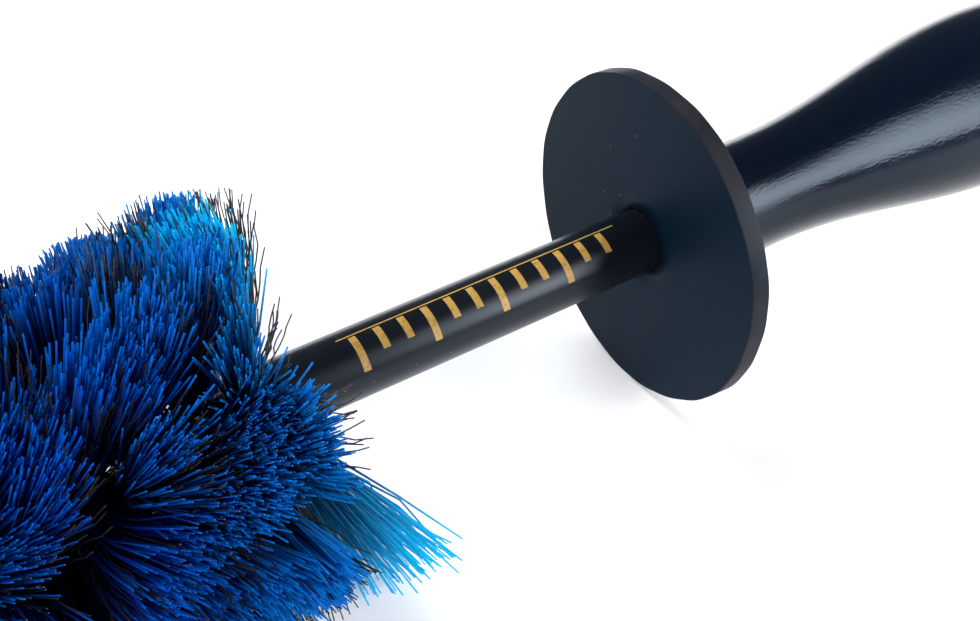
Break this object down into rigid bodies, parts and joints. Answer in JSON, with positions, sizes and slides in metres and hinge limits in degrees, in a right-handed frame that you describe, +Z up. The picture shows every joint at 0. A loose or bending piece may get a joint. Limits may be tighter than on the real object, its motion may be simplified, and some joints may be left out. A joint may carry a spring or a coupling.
{
  "type": "wheel brush",
  "caption": "Twisted-wire wheel brush with blue and black bristles, a sleeved stem, a sliding rubber splash guard and a turned black handle.",
  "frame": {"origin": "on the bench the brush lies on, under the centre of its bounding box", "axes": "+X along the brush from the bristle tip to the handle's butt, level with the bench; the brush's own axis dips 2.2 degrees towards the butt; +Z up"},
  "size_m": [0.4738, 0.0734, 0.0792],
  "materials": {
    "black_lacquer": "gloss lacquer",
    "black_rubber": "matte sheet",
    "black_vinyl": "semi-gloss tube",
    "steel_wire": "drawn wire",
    "adhesive": "set resin",
    "cap_rubber": "soft dip",
    "blue_filament": "extruded filament",
    "black_filament": "crimped filament"
  },
  "bodies": {
    "brush": {"handle": "black_lacquer", "stem_sleeve": "black_vinyl", "core_wire": "steel_wire", "stem_bond": "adhesive", "tip_cap": "cap_rubber", "blue_bristles_1": "blue_filament", "blue_bristles_2": "blue_filament", "blue_bristles_3": "blue_filament", "blue_bristles_4": "blue_filament", "blue_bristles_5": "blue_filament", "blue_bristles_6": "blue_filament", "blue_bristles_7": "blue_filament", "blue_bristles_8": "blue_filament", "blue_bristles_9": "blue_filament", "blue_bristles_10": "blue_filament", "blue_bristles_11": "blue_filament", "black_bristles_1": "black_filament", "black_bristles_2": "black_filament", "black_bristles_3": "black_filament", "black_bristles_4": "black_filament", "black_bristles_5": "black_filament", "black_bristles_6": "black_filament", "black_bristles_7": "black_filament", "black_bristles_8": "black_filament", "black_bristles_9": "black_filament", "black_bristles_10": "black_filament", "black_bristles_11": "black_filament"},
    "guard": {"splash_guard": "black_rubber"}
  },
  "joints": [
    {"name": "guard_slide", "type": "slide", "parent": "brush", "child": "guard", "axis": [-0.9993, 0, 0.0384], "range_m": [0, 0.06]}
  ]
}
